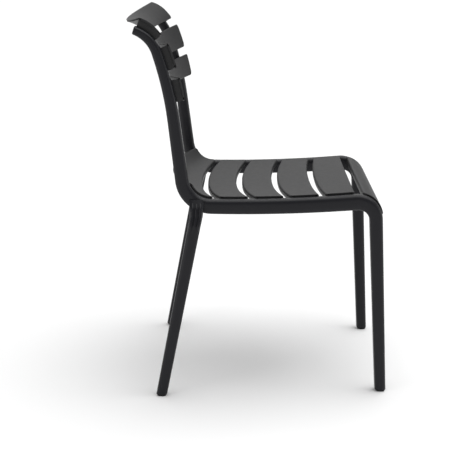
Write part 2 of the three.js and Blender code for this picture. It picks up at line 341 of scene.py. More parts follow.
class Bench:
    """One mesh on the bench, shaped in edit mode from a plane."""

    def __init__(self, name: str, centre: Vector, size: tuple[float, float]) -> None:
        """Puts down a flat blank that faces up, and opens it.

        Args:
            name: the piece's name.
            centre: the blank's middle.
            size: its width along X and its depth along Y.
        """
        bpy.ops.object.select_all(action="DESELECT")
        bpy.ops.mesh.primitive_plane_add(size=1.0, location=centre)
        self.piece = bpy.context.object
        self.piece.name = self.piece.data.name = name
        bpy.ops.object.transform_apply(location=True, rotation=True, scale=True)
        bpy.ops.object.mode_set(mode="EDIT")
        self.swell((size[0], size[1], 1.0), centre)

    def pick(self, kind: Pick, test: Callable[[list[Vector]], bool]) -> None:
        """Selects what passes a test of its corners, and nothing else.

        Args:
            kind: verts or edges.
            test: takes the element's corner points.
        """
        bpy.ops.mesh.select_mode(type=kind.value)
        bpy.ops.mesh.select_all(action="DESELECT")
        mesh = bmesh.from_edit_mesh(self.piece.data)
        if kind is Pick.VERTS:
            chosen = [v for v in mesh.verts if test([v.co])]
        else:
            chosen = [e for e in mesh.edges if test([v.co for v in e.verts])]
        for element in chosen:
            element.select_set(True)
        mesh.select_flush_mode()
        bmesh.update_edit_mesh(self.piece.data)

    def all(self) -> None:
        """Selects the whole mesh."""
        bpy.ops.mesh.select_all(action="SELECT")

    def round_corners(self, radius: float, segments: int) -> None:
        """Rounds the blank's corners, seen flat."""
        bpy.ops.mesh.bevel(
            offset=radius, segments=segments, affect="VERTICES", clamp_overlap=True
        )
        self.all()

    def extrude(self, move: Vector) -> None:
        """Pulls the selected faces out along a move."""
        bpy.ops.mesh.extrude_region_move(TRANSFORM_OT_translate={"value": tuple(move)})

    def draw_edges(self, move: Vector) -> None:
        """Pulls a strip of new faces out of the selected edges."""
        bpy.ops.mesh.extrude_edges_move(TRANSFORM_OT_translate={"value": tuple(move)})

    def shift(self, move: Vector) -> None:
        """Moves the selection."""
        bpy.ops.transform.translate(value=tuple(move))

    def turn(self, angle: float, centre: Vector) -> None:
        """Turns the selection about X, from +Y towards +Z.

        Args:
            angle: how far, in radians.
            centre: a point on the axis.
        """
        if abs(angle) > NOTHING:
            bpy.ops.transform.rotate(value=-angle, orient_axis="X", center_override=centre)

    def swell(self, factors: tuple[float, float, float], centre: Vector) -> None:
        """Scales the selection about a point."""
        bpy.ops.transform.resize(value=factors, center_override=centre)

    def round_foot(
        self, foot: Vector, size: tuple[float, float], radius: float,
        middle_y: Callable[[float], float],
    ) -> Vector:
        """Extrudes the blank up to its full size, with a rounded lower rim.

        Args:
            foot: the blank's middle.
            size: its full width along X and depth along Y.
            radius: the rounding.
            middle_y: gives the middle line's Y at a height.

        Returns:
            The middle of the last ring.
        """
        here, shown = foot, size
        for step in range(ROUND_STEPS + 1):
            angle = QUARTER * step / ROUND_STEPS
            less = 2 * radius * (1 - math.sin(angle))
            height = foot.z + radius * (1 - math.cos(angle))
            there = Vector((foot.x, middle_y(height), height))
            if step:
                self.extrude(there - here)
            wanted = (size[0] - less, size[1] - less)
            self.swell((wanted[0] / shown[0], wanted[1] / shown[1], 1.0), there)
            here, shown = there, wanted
        return here

    def close(self) -> bpy.types.Object:
        """Leaves edit mode with every face turned outwards.

        Returns:
            The piece.
        """
        self.all()
        bpy.ops.mesh.remove_doubles(threshold=1e-6)
        bpy.ops.mesh.normals_make_consistent(inside=False)
        bpy.ops.object.mode_set(mode="OBJECT")
        return self.piece


def chosen_alone(piece: bpy.types.Object) -> None:
    """Makes a piece the only selected and the active object."""
    bpy.ops.object.select_all(action="DESELECT")
    piece.select_set(True)
    bpy.context.view_layer.objects.active = piece


def finished(piece: bpy.types.Object, kind: str, **settings: object) -> bpy.types.Object:
    """Adds a modifier to a piece and applies it.

    Args:
        piece: what is finished.
        kind: the modifier's type.
        **settings: the modifier's attributes.

    Returns:
        The piece.
    """
    chosen_alone(piece)
    modifier = piece.modifiers.new(kind.title(), kind)
    for key, value in settings.items():
        setattr(modifier, key, value)
    bpy.ops.object.modifier_apply(modifier=modifier.name)
    return piece


def softened(piece: bpy.types.Object) -> bpy.types.Object:
    """Bevels a piece's sharp edges a little."""
    return finished(
        piece, "BEVEL", width=0.7 * MM, segments=2, limit_method="ANGLE",
        angle_limit=math.radians(50),
    )


def joined(name: str, pieces: list[bpy.types.Object]) -> bpy.types.Object:
    """Joins meshes into one piece.

    Args:
        name: the name of the result.
        pieces: the meshes, of which the first takes in the others.

    Returns:
        The joined piece.
    """
    chosen_alone(pieces[0])
    for piece in pieces[1:]:
        piece.select_set(True)
    bpy.ops.object.join()
    pieces[0].name = pieces[0].data.name = name
    return pieces[0]


def mirrored(piece: bpy.types.Object, name: str) -> bpy.types.Object:
    """Copies a piece to the other side of the chair.

    Args:
        piece: the piece on one side.
        name: the copy's name.

    Returns:
        The copy, with its own mesh.
    """
    copy = piece.copy()
    copy.data = piece.data.copy()
    bpy.context.scene.collection.objects.link(copy)
    copy.name = copy.data.name = name
    copy.scale.x = -1.0
    chosen_alone(copy)
    bpy.ops.object.transform_apply(location=True, rotation=True, scale=True)
    bpy.ops.object.mode_set(mode="EDIT")
    bpy.ops.mesh.select_all(action="SELECT")
    bpy.ops.mesh.normals_make_consistent(inside=False)
    bpy.ops.object.mode_set(mode="OBJECT")
    return copy


def smoothed(piece: bpy.types.Object, degrees: float = SMOOTH_BELOW) -> bpy.types.Object:
    """Shades a piece smooth across edges flatter than an angle."""
    chosen_alone(piece)
    bpy.ops.object.shade_smooth_by_angle(angle=math.radians(degrees))
    return piece


def dressed(
    piece: bpy.types.Object, material: bpy.types.Material, slot: Slot, node: str
) -> None:
    """Gives a piece its finish and its place on the frame.

    Args:
        piece: the piece.
        material: its finish.
        slot: the record's slot that the finish belongs to; not used.
        node: the CAD node it stands for.
    """
    piece.data.materials.clear()
    piece.data.materials.append(material)
    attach(piece, BODY)
    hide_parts(node)
    LOG.info("%s: %d faces for %s", piece.name, len(piece.data.polygons), node)


def dressed_pair(
    right: bpy.types.Object, material: bpy.types.Material, slot: Slot, node: str,
    degrees: float = SMOOTH_BELOW,
) -> None:
    """Finishes a right-hand piece and its mirror image.

    Args:
        right: the piece, whose name ends in _right.
        material: the finish of both.
        slot: the record's slot that the finish belongs to.
        node: the name of their CAD nodes, without its side.
        degrees: the angle below which edges are shaded smooth.
    """
    smoothed(right, degrees)
    left = smoothed(mirrored(right, right.name.replace("_right", "_left")), degrees)
    dressed(right, material, slot, f"{node}_right")
    dressed(left, material, slot, f"{node}_left")


# ---- The side frame's path ----


@dataclass(frozen=True)
class Stretch:
    """One stretch of the member: its length, its turn and the depth where it ends."""

    length: float
    turn: float
    depth: float

    @classmethod
    def arc(cls, radius: float, degrees: float, depth: float) -> "Stretch":
        """A stretch that bends at a radius."""
        return cls(radius * abs(math.radians(degrees)), degrees, depth)


@dataclass(frozen=True)
class Station:
    """A place on the path, with the member's heading and depth there."""

    y: float
    z: float
    heading: float
    depth: float

    def off(self, rise: float) -> tuple[float, float]:
        """The point at a rise above the middle line, towards the sitter."""
        return self.y - rise * math.sin(self.heading), self.z + rise * math.cos(self.heading)

    def above(self, rise: float) -> tuple[float, float]:
        """The point at a rise above the member's own face."""
        return self.off(self.depth / 2 + rise)


@dataclass
class MemberPath:
    """The line of a side frame, from its front foot to the tip of its post."""

    start_y: float
    start_heading: float = 87.0
    foot_depth: float = 23.7 * MM
    stretches: dict[str, Stretch] = field(default_factory=lambda: {
        "leg": Stretch(391.3 * MM, 0.0, 28.5 * MM),
        "front_bend": Stretch.arc(40 * MM, -91.5, 33 * MM),
        "rail": Stretch(309 * MM, 5.5, 31 * MM),
        "rear_bend": Stretch.arc(64 * MM, 82.0, 28 * MM),
        "post": Stretch(124 * MM, 0.0, 26 * MM),
        "lean": Stretch.arc(720 * MM, -12.0, 21.5 * MM),
        "curl": Stretch.arc(75 * MM, -53.0, 17.5 * MM),
    })

    def start_of(self, name: str) -> float:
        """How far along the path a stretch begins; "end" gives the whole length."""
        travelled = 0.0
        for key, stretch in self.stretches.items():
            if key == name:
                break
            travelled += stretch.length
        return travelled

    def at(self, distance: float) -> Station:
        """Finds the station at a distance along the path.

        Args:
            distance: how far, in metres.

        Returns:
            The station.
        """
        y, z, depth = self.start_y, 0.0, self.foot_depth
        heading = math.radians(self.start_heading)
        left = distance
        for stretch in self.stretches.values():
            share = min(left / stretch.length, 1.0)
            run = stretch.length * share
            half = math.radians(stretch.turn) * share / 2
            chord = run if abs(half) < 1e-9 else run * math.sin(half) / half
            y += chord * math.cos(heading + half)
            z += chord * math.sin(heading + half)
            heading += 2 * half
            depth += (stretch.depth - depth) * share
            left -= run
            if left <= 0:
                break
        return Station(y, z, heading, depth)

    def stops(self, begin: float, end: float, step_degrees: float = 4.0) -> list[float]:
        """Distances between two places, close together where the path bends.

        Args:
            begin: where to start; it is left out.
            end: where to stop; it is taken in.
            step_degrees: the most that the path turns between two stops.

        Returns:
            The distances, in order.
        """
        stops: list[float] = []
        travelled = 0.0
        for stretch in self.stretches.values():
            steps = max(
                1,
                math.ceil(abs(stretch.turn) / step_degrees),
                math.ceil(stretch.length / (30 * MM)),
            )
            for step in range(1, steps + 1):
                stops.append(travelled + stretch.length * step / steps)
            travelled += stretch.length
        kept = [stop for stop in stops if begin + 1 * MM < stop < end - 1 * MM]
        return [*kept, end]


# ---- Side frames ----


@dataclass
class SideFrames:
    """Front leg, seat rail and back post in one bent member, on both sides."""

    path: MemberPath
    middle: float = 204 * MM
    width: float = 28 * MM
    corner: float = 8 * MM
    corner_segments: int = 7
    foot_height: float = 3.3 * MM
    foot_round: float = 1.6 * MM
    foot_clear: float = 6 * MM
    tip_round: float = 2.4 * MM

    def _follow(self, bench: Bench, here: Station, there: Station, middle_x: float) -> None:
        """Extrudes the open end of the member from one station to the next."""
        bench.extrude(Vector((0.0, there.y - here.y, there.z - here.z)))
        centre = Vector((middle_x, there.y, there.z))
        bench.turn(there.heading - here.heading, centre)
        ratio = there.depth / here.depth
        bench.swell((1.0, ratio, ratio), centre)

    def _member(self, name: str) -> bpy.types.Object:
        """Extrudes the right-hand member along the path.

        Args:
            name: the piece's name.

        Returns:
            The closed member.
        """
        x = RIGHT * self.middle
        first = self.path.at(self.foot_height)
        centre = Vector((x, first.y, self.foot_height))
        size = (self.width, first.depth)
        bench = Bench(name, centre, size)
        bench.round_corners(self.corner, self.corner_segments)
        ring = bench.round_foot(centre, size, self.foot_round, lambda height: first.y)
        here = Station(ring.y, ring.z, QUARTER, first.depth)
        end = self.path.start_of("end")
        for stop in self.path.stops(self.foot_height + self.foot_clear, end - self.tip_round):
            there = self.path.at(stop)
            self._follow(bench, here, there, x)
            here = there
        across, depth = self.width, here.depth
        for step in range(1, ROUND_STEPS + 1):
            angle = QUARTER * step / ROUND_STEPS
            there = self.path.at(end - self.tip_round * (1 - math.sin(angle)))
            shrunk = 2 * self.tip_round * (1 - math.cos(angle))
            bench.extrude(Vector((0.0, there.y - here.y, there.z - here.z)))
            tip = Vector((x, there.y, there.z))
            bench.turn(there.heading - here.heading, tip)
            slim = (there.depth - shrunk) / depth
            bench.swell(((self.width - shrunk) / across, slim, slim), tip)
            across, depth, here = self.width - shrunk, there.depth - shrunk, there
        return bench.close()

    def build(self, plastic: bpy.types.Material) -> None:
        """Builds both side frames in their finish."""
        dressed_pair(self._member("frame_member_right"), plastic, Slot.FRAME, "side_frame")


# ---- Rear legs ----


@dataclass(frozen=True)
class LegLevel:
    """The rear leg's section at a height: its depth and its two side faces."""

    height: float
    depth: float
    inner: float
    outer: float


@dataclass
class RearLegs:
    """Raked legs whose ridged heads die away against the side frames."""

    path: MemberPath
    frame_outer: float = 218 * MM
    thickness: float = 24 * MM
    splay: float = 28 * MM
    rake: float = 0.195
    behind_bend: float = 31.5 * MM
    knee_below_bend: float = 20 * MM
    neck_height: float = 20 * MM
    head_height: float = 33 * MM
    foot_depth: float = 23.7 * MM
    knee_depth: float = 27 * MM
    neck_depth: float = 28 * MM
    head_depth: float = 30 * MM
    gap: float = 0.3 * MM
    cope: float = 4 * MM
    neck_share: float = 0.6
    head_flare: float = 14 * MM
    top_flare: float = 3 * MM
    foot_height: float = 3.3 * MM
    foot_round: float = 1.6 * MM
    corner: float = 8 * MM
    corner_segments: int = 7
    face_cells: int = 4
    ridge_pitch: float = 8.2 * MM
    ridge_half: float = 3.6 * MM
    ridge_sunk: float = 1.4 * MM
    ridge_below_knee: float = 22 * MM
    ridge_below_top: float = 4 * MM
    ridge_least: float = 0.15
    ridge_growth: float = 2.2
    ridge_fade: float = 5.0
    ridge_rings: int = 24
    head_rings: int = 46
    shank_rings: int = 10
    smooth_below: float = 40.0

    def levels(self) -> list[LegLevel]:
        """The leg's sections at its foot, knee, neck and head.

        Returns:
            The levels from the floor up.
        """
        bend = self.path.at(self.path.start_of("rear_bend"))
        knee = bend.z - bend.depth / 2 - self.knee_below_bend
        neck = knee + self.neck_height
        inner, coped = self.frame_outer + self.gap, self.frame_outer - self.cope
        knee_outer = inner + self.thickness
        foot_outer = self.frame_outer + self.splay
        head_outer = self.frame_outer + self.head_flare
        neck_outer = knee_outer + self.neck_share * (head_outer - knee_outer)
        top_outer = self.frame_outer + self.top_flare
        return [
            LegLevel(self.foot_height, self.foot_depth, foot_outer - self.thickness, foot_outer),
            LegLevel(knee, self.knee_depth, inner, knee_outer),
            LegLevel(neck, self.neck_depth, coped, neck_outer),
            LegLevel(neck + self.head_height / 2, self.head_depth, coped, head_outer),
            LegLevel(neck + self.head_height, self.head_depth, coped, top_outer),
        ]

    def middle_y(self, height: float) -> float:
        """The leg's middle line: raked up to its neck, upright above it."""
        bend = self.path.at(self.path.start_of("rear_bend"))
        below_neck = max(0.0, self.levels()[2].height - height)
        return bend.y + self.behind_bend + self.rake * below_neck

    def at(self, height: float) -> LegLevel:
        """Blends the two sections that a height lies between.

        Args:
            height: above the floor.

        Returns:
            The section there.
        """
        levels = self.levels()
        for low, high in zip(levels, levels[1:]):
            if height <= high.height:
                share = max(0.0, (height - low.height) / (high.height - low.height))
                return LegLevel(
                    height,
                    low.depth + share * (high.depth - low.depth),
                    low.inner + share * (high.inner - low.inner),
                    low.outer + share * (high.outer - low.outer),
                )
        return levels[-1]

    def heights(self) -> list[float]:
        """Where the leg gets a ring: wide apart on the shank, close at the head.

        Returns:
            The heights above the foot's rounding.
        """
        low, top = self.ridge_start(), self.levels()[-1].height
        shank = [low * step / self.shank_rings for step in range(1, self.shank_rings + 1)]
        head = [
            low + (top - low) * step / self.head_rings for step in range(1, self.head_rings + 1)
        ]
        return shank + head

    def ridge_start(self) -> float:
        """The height at which the ridges begin to show."""
        return self.levels()[1].height - self.ridge_below_knee

    def _ridge(self, name: str, offset: float) -> bpy.types.Object:
        """Extrudes one soft ridge up the outer face of the right-hand head.

        Args:
            name: the ridge's name.
            offset: its middle, behind the leg's middle line.

        Returns:
            The closed ridge, which is sunk into the face.
        """
        low, top = self.ridge_start(), self.levels()[-1].height - self.ridge_below_top
        widest = 2 * self.ridge_half

        def middle(height: float) -> Vector:
            """The ridge's middle line."""
            outer = self.at(height).outer - self.ridge_sunk
            return Vector((RIGHT * outer, self.middle_y(height) + offset, height))

        here, shown = middle(low), self.ridge_least
        bench = Bench(name, here, (widest, widest))
        bench.round_corners(0.98 * self.ridge_half, 6)
        bench.all()
        bench.swell((shown, shown, 1.0), here)
        for step in range(1, self.ridge_rings + 1):
            share = step / self.ridge_rings
            there = middle(low + share * (top - low))
            swelling = min(1.0, self.ridge_growth * share, self.ridge_fade * (1.0 - share))
            wanted = self.ridge_least + (1 - self.ridge_least) * math.sin(QUARTER * swelling)
            bench.extrude(there - here)
            bench.swell((wanted / shown, wanted / shown, 1.0), there)
            here, shown = there, wanted
        return bench.close()

    def _centre(self, level: LegLevel) -> Vector:
        """The middle of the right-hand leg's section at a level."""
        x = RIGHT * (level.inner + level.outer) / 2
        return Vector((x, self.middle_y(level.height), level.height))

    def _leg(self, name: str) -> bpy.types.Object:
        """Extrudes the right-hand leg from its foot to its head.

        Args:
            name: the piece's name.

        Returns:
            The closed leg.
        """
        foot = self.levels()[0]
        size = (self.thickness, foot.depth)
        centre = self._centre(foot)
        bench = Bench(name, centre, size)
        bench.round_corners(self.corner, self.corner_segments)
        face = RIGHT * foot.outer
        bench.pick(Pick.EDGES, lambda ends: all(abs(end.x - face) < SAME_LINE for end in ends))
        bpy.ops.mesh.subdivide(number_cuts=self.face_cells - 1)
        bench.all()
        here = bench.round_foot(centre, size, self.foot_round, self.middle_y)
        across, depth = size
        for level in map(self.at, self.heights()):
            there, wide = self._centre(level), level.outer - level.inner
            bench.extrude(there - here)
            bench.swell((wide / across, level.depth / depth, 1.0), there)
            across, depth, here = wide, level.depth, there
        pieces = [bench.close()]
        for number in (-1, 0, 1):
            pieces.append(self._ridge(f"{name}_ridge_{number + 2}", number * self.ridge_pitch))
        return joined(name, pieces)

    def build(self, plastic: bpy.types.Material) -> None:
        """Builds both rear legs in their finish."""
        leg = self._leg("rear_support_right")
        dressed_pair(leg, plastic, Slot.FRAME, "rear_leg", self.smooth_below)


# ---- Slats ----


@dataclass(frozen=True)
class BowedSheet:
    """A sheet that follows the side frames and is bowed between them.

    start and stop are distances along the path. Each bow says how far the
    middle of an edge is moved back and up. lip is how far the edges turn down.
    """

    path: MemberPath
    start: float
    stop: float
    rise: float
    half: float
    bow_start: tuple[float, float]
    bow_stop: tuple[float, float]
    corner_start: float
    corner_stop: float
    thickness: float
    lip: float
    edge_round: float
    power: float = 2.3
    cells_across: int = 44
    cells_along: int = 12
    end_cuts: int = 5

    def bow(self, share: float) -> tuple[float, float]:
        """The bow of the line at a share of the way from start to stop."""
        return (
            self.bow_start[0] + share * (self.bow_stop[0] - self.bow_start[0]),
            self.bow_start[1] + share * (self.bow_stop[1] - self.bow_start[1]),
        )

    def away(self, x: float) -> float:
        """The share of the full bow at a place across the chair."""
        return max(0.0, 1 - (abs(x) / self.half) ** self.power)

    def rows(self) -> list[tuple[float, float]]:
        """The sheet's lines as (distance, drop), from one lip's rim to the other's.

        Returns:
            The lines in order.
        """
        radius = self.edge_round
        arc = [
            (radius * (1 - math.sin(angle)), radius * (1 - math.cos(angle)))
            for angle in (QUARTER * step / 5 for step in range(1, 5))
        ]
        near = [(0.0, self.lip), (0.0, (self.lip + radius) / 2), (0.0, radius)]
        if self.lip <= radius + 0.1 * MM:
            near = [(0.0, radius)]
        rim = near + [(inset, drop) for inset, drop in reversed(arc)] + [(radius, 0.0)]
        length = self.stop - self.start
        flat = [
            (radius + (length - 2 * radius) * step / self.cells_along, 0.0)
            for step in range(1, self.cells_along)
        ]
        far = [(length - inset, drop) for inset, drop in reversed(rim)]
        return [(self.start + inset, drop) for inset, drop in rim + flat + far]

    def line(self, row: tuple[float, float]) -> tuple[float, float, float, float]:
        """A row's place at the ends of the sheet, and its bow.

        Args:
            row: a distance along the path and a drop below the face.

        Returns:
            Y and Z of the ends, then the bow's Y and Z.
        """
        distance, drop = row
        y, z = self.path.at(distance).above(self.rise - drop)
        share = (distance - self.start) / (self.stop - self.start)
        bow_y, bow_z = self.bow(share)
        return y, z, bow_y, bow_z

    def build(self, name: str) -> bpy.types.Object:
        """Shapes the sheet and gives it its thickness.

        Args:
            name: the piece's name.

        Returns:
            The closed slat.
        """
        rows = self.rows()
        lead = max(range(len(rows)), key=lambda index: abs(self.line(rows[index])[2]))
        lead = min(lead, len(rows) - 2)
        y, z, bow_y, bow_z = self.line(rows[lead])
        y2, z2, bow_y2, bow_z2 = self.line(rows[lead + 1])
        centre = Vector((0.0, y, z))
        bench = Bench(name, centre, (2 * self.half, 2 * MM))
        side = y + 1 * MM
        bench.pick(Pick.EDGES, lambda ends: abs(ends[0].y - ends[1].y) < SAME_LINE)
        bpy.ops.mesh.subdivide(number_cuts=self.cells_across - 1)
        near_end = self.half - 1.05 * 2 * self.half / self.cells_across
        bench.pick(
            Pick.EDGES,
            lambda ends: abs(ends[0].y - ends[1].y) < SAME_LINE
            and all(abs(end.x) > near_end for end in ends),
        )
        bpy.ops.mesh.subdivide(number_cuts=self.end_cuts)
        places = sorted({
            round(abs(v.co.x), 7) for v in bmesh.from_edit_mesh(bench.piece.data).verts
        })
        # The blank's far line becomes the second row, then each column is bowed.
        bench.pick(Pick.VERTS, lambda points: points[0].y > y)
        bench.shift(Vector((0.0, y2 - side, z2 - z)))
        bench.pick(
            Pick.VERTS,
            lambda points: abs(points[0].y - (y - 1 * MM)) < SAME_LINE
            and abs(points[0].z - z) < SAME_LINE,
        )
        bench.shift(Vector((0.0, 1 * MM, 0.0)))
        first, second = Vector((0.0, y, z)), Vector((0.0, y2, z2))
        for mark, bows in ((first, (bow_y, bow_z)), (second, (bow_y2, bow_z2))):
            for place in places[:-1]:
                share = self.away(place)
                bench.pick(
                    Pick.VERTS,
                    lambda points: abs(abs(points[0].x) - place) < SAME_COLUMN
                    and abs(points[0].y - mark.y) < SAME_SPOT
                    and abs(points[0].z - mark.z) < SAME_SPOT,
                )
                bench.shift(Vector((0.0, share * bows[0], share * bows[1])))
        return self._spread(bench, rows, lead, places)

    def _spread(
        self, bench: Bench, rows: list[tuple[float, float]], lead: int, places: list[float]
    ) -> bpy.types.Object:
        """Draws the other rows out of the first strip, and thickens the sheet."""
        for order in (range(lead + 1, len(rows) - 1), range(lead, 0, -1)):
            for index in order:
                here, there = self.line(rows[index]), self.line(rows[index + order.step])

                def on_row(points: list[Vector]) -> bool:
                    """Whether all the points lie on the row drawn last."""
                    return all(
                        abs(p.y - here[0] - self.away(p.x) * here[2]) < ON_CURVE
                        and abs(p.z - here[1] - self.away(p.x) * here[3]) < ON_CURVE
                        for p in points
                    )

                bench.pick(Pick.EDGES, on_row)
                bench.draw_edges(Vector((0.0, there[0] - here[0], there[1] - here[1])))
                ends = Vector((0.0, there[0], there[1]))
                scale_y = there[2] / here[2] if abs(here[2]) > NOTHING else 1.0
                scale_z = there[3] / here[3] if abs(here[3]) > NOTHING else 1.0
                bench.swell((1.0, scale_y, scale_z), ends)
        self._trim_corners(bench, places)
        bench.all()
        bpy.ops.mesh.normals_make_consistent(inside=False)
        mesh = bmesh.from_edit_mesh(bench.piece.data)
        mesh.faces.ensure_lookup_table()
        middle = self.path.at((self.start + self.stop) / 2)
        up = Vector((0.0, -math.sin(middle.heading), math.cos(middle.heading)))
        tops = [face for face in mesh.faces if abs(face.normal.dot(up)) > 0.9]
        if sum(face.normal.dot(up) for face in tops) < 0:
            bpy.ops.mesh.flip_normals()
        bpy.ops.object.mode_set(mode="OBJECT")
        finished(
            bench.piece, "SOLIDIFY", thickness=self.thickness, offset=-1.0,
            use_even_offset=True, use_quality_normals=True,
        )
        return softened(bench.piece)

    def _trim_corners(self, bench: Bench, places: list[float]) -> None:
        """Draws the end columns in, so that the sheet's corners are round."""
        length = self.stop - self.start
        for place in places:
            trims = []
            for radius in (self.corner_start, self.corner_stop):
                into = min(max(0.0, place - (self.half - radius)), radius)
                trims.append(radius - math.sqrt(max(0.0, radius * radius - into * into)))
            if sum(trims) < SAME_LINE:
                continue
            share = trims[0] / sum(trims)
            y, z = self.path.at(self.start + share * length).above(self.rise)
            bow_y, bow_z = self.bow(share)
            away = self.away(place)
            pivot = Vector((0.0, y + away * bow_y, z + away * bow_z))
            bench.pick(Pick.VERTS, lambda points: abs(abs(points[0].x) - place) < SAME_COLUMN)
            factor = 1 - sum(trims) / length
            bench.swell((1.0, factor, factor), pivot)


@dataclass(frozen=True)
class EndWall:
    """A wall under the end of a slat, which follows the slat's own curve.

    The drops are measured down from the slat's face, and the insets from its
    edges. The corner rounds the face-side end of the wall at the lower edge.
    """

    sheet: BowedSheet
    outer: float
    thickness: float
    top_drop: float
    bottom_drop: float
    start_inset: float
    stop_inset: float
    corner: float = 0.0
    corner_rings: tuple[float, float, float, float] = (0.15, 0.35, 0.6, 1.0)
    steps: int = 9

    def _set_back(self, travelled: float) -> float:
        """How far the rounded corner draws the wall's upper rim down."""
        into = max(0.0, self.corner - travelled)
        return self.corner - math.sqrt(self.corner**2 - into**2)

    def _middle(self, distance: float) -> tuple[Vector, float]:
        """The wall's middle, and the path's heading, at a distance along the path."""
        sheet = self.sheet
        x = RIGHT * (self.outer - self.thickness / 2)
        station = sheet.path.at(distance)
        y, z = station.above(sheet.rise - (self.top_drop + self.bottom_drop) / 2)
        away = sheet.away(x)
        bow_y, bow_z = sheet.bow((distance - sheet.start) / (sheet.stop - sheet.start))
        return Vector((x, y + away * bow_y, z + away * bow_z)), station.heading

    def build(self, name: str) -> list[bpy.types.Object]:
        """Extrudes the right-hand wall along the path, and mirrors it.

        Args:
            name: the wall's name.

        Returns:
            The two closed walls.
        """
        depth = self.bottom_drop - self.top_drop
        start = self.sheet.start + self.start_inset
        length = self.sheet.stop - self.stop_inset - start
        runs = [share * self.corner for share in self.corner_rings if self.corner]
        runs += [
            self.corner + (length - self.corner) * step / self.steps
            for step in range(1, self.steps + 1)
        ]
        here, heading = self._middle(start)
        bench = Bench(name, here, (self.thickness, depth))
        bench.turn(heading - QUARTER, here)
        shown = depth
        for run in [0.0, *runs]:
            there, turned = self._middle(start + run)
            if run:
                bench.extrude(there - here)
                bench.turn(turned - heading, there)
            here, heading = there, turned
            wanted = depth - self._set_back(run)
            foot = Vector((
                there.x,
                there.y + depth / 2 * math.sin(heading),
                there.z - depth / 2 * math.cos(heading),
            ))
            bench.swell((1.0, wanted / shown, wanted / shown), foot)
            shown = wanted
        wall = softened(bench.close())
        return [wall, mirrored(wall, f"{name}_left")]


@dataclass
class SeatSlats:
    """Six slats across the rails, with five slots that bow back."""

    path: MemberPath
    half: float = 194 * MM
    rail_inner: float = 190 * MM
    rise: float = 3.5 * MM
    thickness: float = 3.4 * MM
    lip: float = 11 * MM
    corner: float = 4 * MM
    slot_width: float = 13 * MM
    slot_pitch: float = 76 * MM
    slots: int = 5
    first_slot: float = -5 * MM
    bow: float = 27 * MM
    rear_bow: float = 37 * MM
    least_bow: float = 0.02 * MM
    dish_front: float = 1 * MM
    dish_rear: float = 8 * MM
    after_front_bend: float = 4 * MM
    before_post: float = 14 * MM
    rim_round: float = 3.6 * MM
    wall_gap: float = 0.2 * MM
    wall_inset: float = 1 * MM

    def _bow_of(self, slot: int) -> tuple[float, float]:
        """How far the middle of a slot lies behind and above its ends."""
        share = 1 - (1 - slot / (self.slots - 1)) ** 2
        dish = self.dish_front + share * (self.dish_rear - self.dish_front)
        return max(self.least_bow, self.bow * share), -dish

    def _sheet(self, index: int) -> BowedSheet:
        """Lays out one slat.

        Args:
            index: the slat's number, from the front.

        Returns:
            The sheet to build.
        """
        rail = self.path.start_of("rail") + self.first_slot
        if index == 0:
            start = self.path.start_of("front_bend") + self.after_front_bend
            bow_start = (self.least_bow, -self.least_bow)
        else:
            start = rail + (index - 1) * self.slot_pitch + self.slot_width / 2
            bow_start = self._bow_of(index - 1)
        if index == self.slots:
            stop = self.path.start_of("post") - self.before_post
            bow_stop = (self.rear_bow, -self.dish_front)
        else:
            stop = rail + index * self.slot_pitch - self.slot_width / 2
            bow_stop = self._bow_of(index)
        return BowedSheet(
            self.path, start, stop, self.rise, self.half, bow_start, bow_stop,
            self.corner, self.corner, self.thickness, self.lip, self.rim_round,
        )

    def build(self, plastic: bpy.types.Material) -> None:
        """Builds the six slats from the front.

        Args:
            plastic: their finish.
        """
        for index in range(self.slots + 1):
            sheet = self._sheet(index)
            board = sheet.build(f"seat_board_{index + 1}")
            walls = EndWall(
                sheet, self.rail_inner - self.wall_gap, self.thickness, self.thickness / 2,
                self.lip, self.wall_inset, self.wall_inset,
            ).build(f"seat_wall_{index + 1}")
            piece = smoothed(joined(f"seat_board_{index + 1}", [board, *walls]))
            dressed(piece, plastic, Slot.SLAT, f"seat_slat_{index + 1}")


